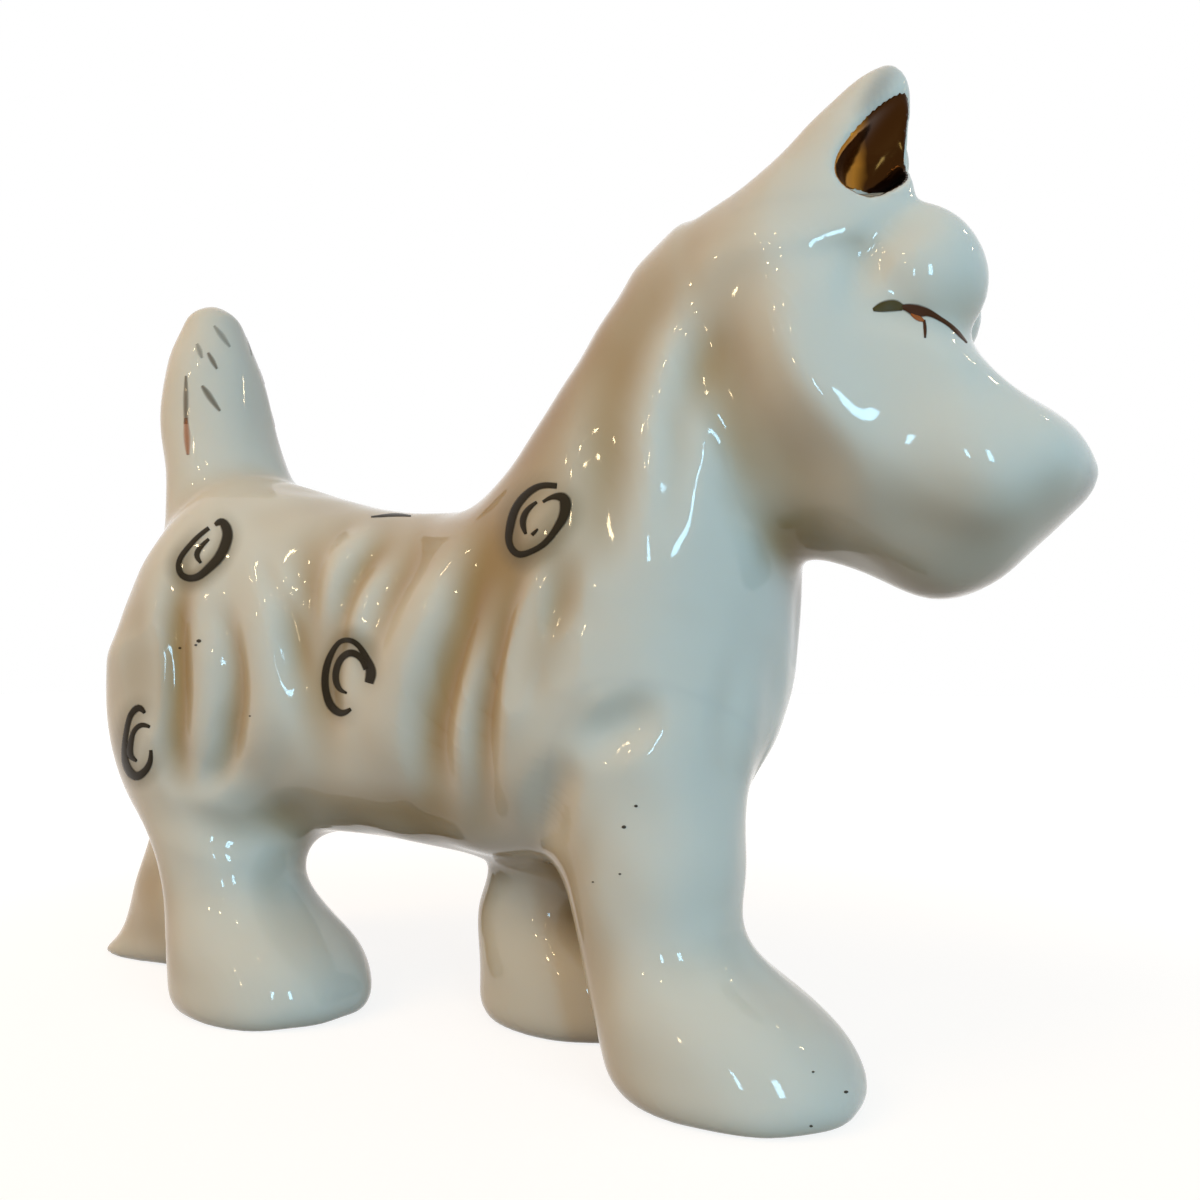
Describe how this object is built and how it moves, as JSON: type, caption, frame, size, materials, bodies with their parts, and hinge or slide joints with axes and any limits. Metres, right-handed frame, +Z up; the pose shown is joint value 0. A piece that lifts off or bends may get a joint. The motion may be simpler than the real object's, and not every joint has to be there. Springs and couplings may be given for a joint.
{
  "type": "walking terrier figurine",
  "caption": "Small white glazed porcelain terrier in mid stride, with pricked gilt-lined ears, upright tail and chunky flat-soled feet.",
  "frame": {"origin": "on the ground under the middle of the figure's bounding box", "axes": "+X towards the nose, +Y the dog's left, +Z up from the flat soles"},
  "size_m": [0.1262, 0.034, 0.0944],
  "materials": {
    "glazed_porcelain": "thick clear gloss glaze over ivory white porcelain",
    "gilding": "bright burnished gold lustre, a little worn at its edges",
    "enamel_marks": "thin brushed black-brown overglaze enamel"
  },
  "bodies": {
    "root": {"trunk": "glazed_porcelain", "head": "glazed_porcelain", "right_ear": "glazed_porcelain", "left_ear": "glazed_porcelain", "right_ear_gilding": "gilding", "left_ear_gilding": "gilding", "tail": "glazed_porcelain", "right_fore_leg": "glazed_porcelain", "left_fore_leg": "glazed_porcelain", "right_hind_leg": "glazed_porcelain", "left_hind_leg": "glazed_porcelain"}
  },
  "joints": []
}
